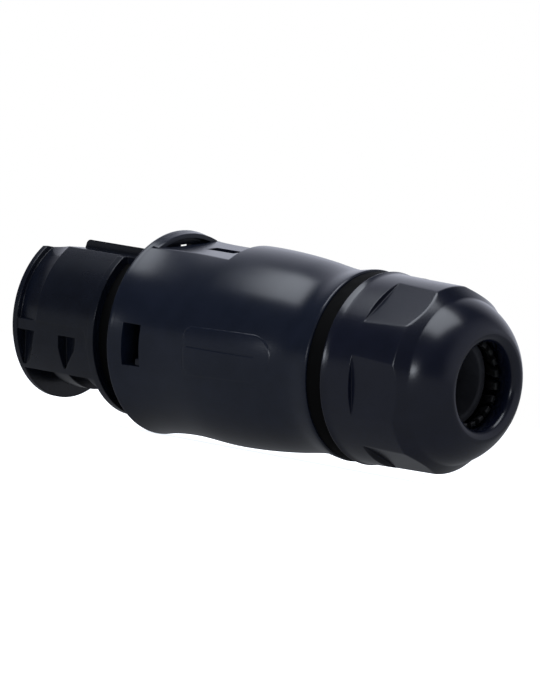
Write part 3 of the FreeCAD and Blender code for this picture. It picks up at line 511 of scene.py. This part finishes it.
def relief(tree, shader, heights, edge_radius):
    """Edges rounded by a radius in metres, then bumps, each (value, depth in metres, strength)."""
    edge = tree.nodes.new("ShaderNodeBevel")
    edge.samples = 6
    edge.inputs["Radius"].default_value = edge_radius
    normal = edge.outputs["Normal"]
    for value, depth, strength in heights:
        bump = tree.nodes.new("ShaderNodeBump")
        bump.inputs["Distance"].default_value = depth
        bump.inputs["Strength"].default_value = strength
        tree.links.new(value, bump.inputs["Height"])
        tree.links.new(normal, bump.inputs["Normal"])
        normal = bump.outputs["Normal"]
    tree.links.new(normal, shader.inputs["Normal"])


def moulded_plastic(name, dark, light, rough_low, rough_high, specular=0.5, edge=0.00016):
    """Black moulded plastic: faint mottling, satin sheen that varies, fine spark grain."""
    material, tree, shader = node_tree(name)
    mottle = noise(tree, 260.0, 3.0)
    grains = noise(tree, 5200.0, 2.0)
    flow = noise(tree, 90.0, 2.0, (0.35, 1.0, 1.0))
    tree.links.new(tint(tree, spread(tree, mottle, 0, 1), dark, light), shader.inputs["Base Color"])
    tree.links.new(spread(tree, flow, rough_low, rough_high), shader.inputs["Roughness"])
    shader.inputs["IOR"].default_value = 1.46
    shader.inputs["Specular IOR Level"].default_value = specular
    relief(tree, shader, [(grains, 0.000008, 0.3), (mottle, 0.00002, 0.1)], edge)
    return material


def soft_rubber(name, dark, light, specular):
    """Matt black rubber with a dry bloom and a fine pitted skin."""
    material, tree, shader = node_tree(name)
    bloom = noise(tree, 420.0, 4.0)
    pits = noise(tree, 3800.0, 2.0)
    tree.links.new(tint(tree, spread(tree, bloom, 0, 1), dark, light), shader.inputs["Base Color"])
    tree.links.new(spread(tree, bloom, 0.66, 0.82), shader.inputs["Roughness"])
    shader.inputs["Specular IOR Level"].default_value = specular
    relief(tree, shader, [(pits, 0.00002, 0.4)], 0.0002)
    return material


def turned_metal(name, dark, light, rough_low, rough_high):
    """Bare metal with fine lathe lines round the connector's axis."""
    material, tree, shader = node_tree(name)
    lines = noise(tree, 900.0, 3.0, (9.0, 0.4, 0.4))
    cloud = noise(tree, 300.0, 2.0)
    tree.links.new(tint(tree, spread(tree, cloud, 0, 1), dark, light), shader.inputs["Base Color"])
    tree.links.new(spread(tree, lines, rough_low, rough_high), shader.inputs["Roughness"])
    shader.inputs["Metallic"].default_value = 1.0
    relief(tree, shader, [(lines, 0.000008, 0.3)], 0.0001)
    return material


housing_black = moulded_plastic("housing_black", (0.0034, 0.0056, 0.0125),
                                (0.0050, 0.0074, 0.0158), 0.22, 0.27)
# Black plastic of the insert, set darker than the housing's as painted shade over the whole insert
insert_black_painted_shade = moulded_plastic("insert_black_painted_shade", (0.0019, 0.0030, 0.0068),
                               (0.0031, 0.0045, 0.0094), 0.23, 0.29, 0.5, 0.0003)
nut_black = moulded_plastic("nut_black", (0.0022, 0.0034, 0.0094),
                            (0.0033, 0.0046, 0.0118), 0.20, 0.25, 0.57)
block_black = moulded_plastic("block_black", (0.0065, 0.0068, 0.0085),
                              (0.009, 0.0093, 0.011), 0.42, 0.5)
cage_black = moulded_plastic("cage_black", (0.009, 0.010, 0.011),
                             (0.014, 0.015, 0.016), 0.26, 0.34, 0.7)
# Black rubber of the seals, set near-black and almost without sheen as painted shade in the gaps
# where the seals sit
seal_rubber = soft_rubber("seal_rubber", (0.0006, 0.0006, 0.0007), (0.0011, 0.0012, 0.0013), 0.08)
sleeve_rubber = soft_rubber("sleeve_rubber", (0.022, 0.024, 0.032), (0.032, 0.035, 0.045), 0.45)
silver_brass = turned_metal("silver_brass", (0.62, 0.5, 0.3), (0.78, 0.66, 0.42), 0.22, 0.36)
spring_metal = turned_metal("spring_metal", (0.42, 0.42, 0.44), (0.56, 0.56, 0.58), 0.28, 0.4)
screw_metal = turned_metal("screw_metal", (0.45, 0.44, 0.4), (0.6, 0.59, 0.54), 0.3, 0.44)

NODE_MATERIALS = {
    "housing": housing_black,
    "coupling_insert": insert_black_painted_shade,
    "coupling_seal": seal_rubber,
    "contact_face": block_black,
    "contact_block": block_black,
    "block_retainer": block_black,
    "block_o_ring": seal_rubber,
    "insert_o_ring": seal_rubber,
    "nut_seal": seal_rubber,
    "gland_nut": nut_black,
    "clamping_cage": cage_black,
    "cable_seal": sleeve_rubber,
}
for pole in ("earth", "line", "neutral"):
    NODE_MATERIALS[pole + "_contact"] = silver_brass
    NODE_MATERIALS[pole + "_spring"] = spring_metal
    NODE_MATERIALS[pole + "_screw"] = screw_metal
    NODE_MATERIALS[pole + "_wire_guard"] = spring_metal

for name, material in NODE_MATERIALS.items():
    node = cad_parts[name]
    node.data.materials.clear()
    node.data.materials.append(material)


# Pieces that take the place of solids

ROUND = np.arange(-180.0, 180.0, 2.5)

fine_housing = skin("housing_moulding", together(barrel(), front_ring(), arch_lip()), housing_black,
                    "connector")
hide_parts("housing")
skin("marking_panel", marking_panel(), housing_black, "connector")

fine_nut = skin("nut_moulding", turned(nut_profile(), nut_angles(), spanner_flats), nut_black,
                "nut")
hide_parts("gland_nut")

fine_cage = skin("cage_moulding", finger_cage(), cage_black, "clamp", 50.0)
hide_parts("clamping_cage")

fine_sleeve = skin("sleeve_moulding", turned(sleeve_profile(), ROUND), sleeve_rubber,
                   "clamp")
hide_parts("cable_seal")

flat_ring = ring_profile(REAR_X, NUT_X, FLAT_SEAL_INNER_R, FLAT_SEAL_R, FLAT_SEAL_CORNER)
flat_seal = skin("flat_seal_ring", turned(flat_ring, ROUND), seal_rubber,
                 "connector")
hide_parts("nut_seal")

lipped_seal = skin("lipped_seal_ring", lip_seal(), seal_rubber, "connector")
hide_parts("coupling_seal")


# Camera, floor, world and lamps

LEVEL = Matrix.Rotation(math.radians(LEAN), 4, "X")
CAMERA_PLACE = (0.789092, -0.880351, 0.183277)
CAMERA_RIGHT = (0.76002, 0.64854, 0.04194)
CAMERA_UP = (-0.13381, 0.09301, 0.98663)
CAMERA_AHEAD = (-0.63597, 0.75548, -0.15748)
FOCAL_PIXELS = 6612.74
LONG_SIDE_PIXELS = 700
SENSOR_MM = 36.0
FLOOR_HALF, FLOOR_PAINT, FLOOR_MIRRORED = 6.0, 0.8, 0.2
ROOM_LIGHT, DIM = 0.5, 0.06
PLAIN, COOL, COOL_MIRRORED = (1.0, 1.0, 1.0), (0.87, 0.92, 1.0), (0.87, 0.90, 1.04)
# Walls seen in reflections: direction, strength, cosines at which each begins and is full
WALLS = (((-0.636, 0.706, 0.311), 1.0, (0.65, 1.0)),
         ((0.864, 0.503, 0.0), 0.50, (0.42, 0.68)))


def make_camera():
    """Camera at the photograph's place about the barrel, turned level with it."""
    data = bpy.data.cameras.new("camera")
    data.sensor_width = SENSOR_MM
    data.sensor_fit = "AUTO"
    data.lens = FOCAL_PIXELS * SENSOR_MM / LONG_SIDE_PIXELS
    data.clip_start = 0.05
    data.clip_end = 50.0
    camera = bpy.data.objects.new("camera", data)
    bpy.context.scene.collection.objects.link(camera)
    right, up, back = Vector(CAMERA_RIGHT), Vector(CAMERA_UP), -Vector(CAMERA_AHEAD)
    turn = Matrix((right, up, back)).transposed().to_4x4()
    camera.matrix_world = LEVEL @ Matrix.Translation(CAMERA_PLACE) @ turn
    bpy.context.scene.camera = camera


def pick(tree, factor, plain, other):
    """Value between a plain number or value and another, by a factor."""
    mix = tree.nodes.new("ShaderNodeMix")
    tree.links.new(factor, mix.inputs["Factor"])
    for socket, value in (("A", plain), ("B", other)):
        if isinstance(value, (int, float)):
            mix.inputs[socket].default_value = value
        else:
            tree.links.new(value, mix.inputs[socket])
    return mix.outputs["Result"]


def seen_white(tree, diffuse, glossy):
    """White for camera and transmitted rays, and other strengths for glossy and diffuse ones."""
    path = tree.nodes.new("ShaderNodeLightPath")
    direct = tree.nodes.new("ShaderNodeMath")
    direct.operation = "MAXIMUM"
    tree.links.new(path.outputs["Is Camera Ray"], direct.inputs[0])
    tree.links.new(path.outputs["Is Transmission Ray"], direct.inputs[1])
    shaded = pick(tree, path.outputs["Is Glossy Ray"], diffuse, glossy)
    return pick(tree, direct.outputs[0], shaded, 1.0)


def make_world():
    """Plain room, white to the camera; in reflections it is dim and has two pale walls."""
    world = bpy.data.worlds.new("room")
    bpy.context.scene.world = world
    world.cycles.sampling_method = "NONE"
    world.use_nodes = True
    tree = world.node_tree
    tree.nodes.clear()
    output = tree.nodes.new("ShaderNodeOutputWorld")
    light = tree.nodes.new("ShaderNodeBackground")
    where = tree.nodes.new("ShaderNodeTexCoord")
    paler = tree.nodes.new("ShaderNodeMath")
    paler.operation = "MAXIMUM"
    for socket, (direction, level, reach) in zip(paler.inputs, WALLS):
        wall = tree.nodes.new("ShaderNodeVectorMath")
        wall.operation = "DOT_PRODUCT"
        wall.inputs[1].default_value = direction
        tree.links.new(where.outputs["Generated"], wall.inputs[0])
        tree.links.new(spread(tree, wall.outputs["Value"], DIM, level, *reach), socket)
    path = tree.nodes.new("ShaderNodeLightPath")
    cool = tint(tree, path.outputs["Is Glossy Ray"], PLAIN, COOL_MIRRORED)
    tree.links.new(cool, light.inputs["Color"])
    tree.links.new(seen_white(tree, ROOM_LIGHT, paler.outputs[0]), light.inputs["Strength"])
    tree.links.new(light.outputs["Background"], output.inputs["Surface"])


def make_floor(height):
    """Large pale floor under the object; white to the camera except where the shadow falls."""
    corners = [(FLOOR_HALF * x, FLOOR_HALF * y, height)
               for x, y in ((-1, -1), (1, -1), (1, 1), (-1, 1))]
    mesh = bpy.data.meshes.new("floor")
    mesh.from_pydata(corners, [], [(0, 1, 2, 3)])
    floor = bpy.data.objects.new("floor", mesh)
    bpy.context.scene.collection.objects.link(floor)
    material = bpy.data.materials.new("floor_white")
    material.cycles.emission_sampling = "NONE"
    material.use_nodes = True
    tree = material.node_tree
    tree.nodes.clear()
    output = tree.nodes.new("ShaderNodeOutputMaterial")
    paint = tree.nodes.new("ShaderNodeBsdfDiffuse")
    path = tree.nodes.new("ShaderNodeLightPath")
    shade = pick(tree, path.outputs["Is Glossy Ray"], FLOOR_PAINT, DIM)
    tree.links.new(shade, paint.inputs["Color"])
    glow = tree.nodes.new("ShaderNodeEmission")
    glow.inputs["Color"].default_value = (0.88, 0.92, 1.0, 1.0)
    tree.links.new(seen_white(tree, 0.0, FLOOR_MIRRORED), glow.inputs["Strength"])
    both = tree.nodes.new("ShaderNodeAddShader")
    tree.links.new(paint.outputs["BSDF"], both.inputs[0])
    tree.links.new(glow.outputs["Emission"], both.inputs[1])
    tree.links.new(both.outputs["Shader"], output.inputs["Surface"])
    mesh.materials.append(material)


def softbox(name, spot, target, width, height, watts):
    """Rectangular area lamp at a spot about the barrel, turned to a target, its width along x."""
    data = bpy.data.lights.new(name, "AREA")
    data.shape = "RECTANGLE"
    data.size = width
    data.size_y = height
    data.energy = watts
    data.color = COOL
    lamp = bpy.data.objects.new(name, data)
    bpy.context.scene.collection.objects.link(lamp)
    back = (Vector(spot) - Vector(target)).normalized()
    side = (Vector((1, 0, 0)) - back * back.x).normalized()
    turn = Matrix((side, back.cross(side), back)).transposed().to_4x4()
    lamp.matrix_world = LEVEL @ Matrix.Translation(spot) @ turn


make_camera()
make_world()
make_floor(cad_box[0][2])
softbox("top_box", (0.005, -0.02, 0.60), (0.005, -0.02, 0.0), 0.67, 0.44, 3.8)
softbox("side_box", (-0.04, -0.80, 0.12), (0.049, 0.0, 0.0), 0.44, 0.20, 0.9)
softbox("streak_box", (0.19, -0.80, 0.14), (0.091, 0.0, 0.0), 0.20, 0.34, 1.5)
bpy.context.scene.view_settings.view_transform = "Standard"
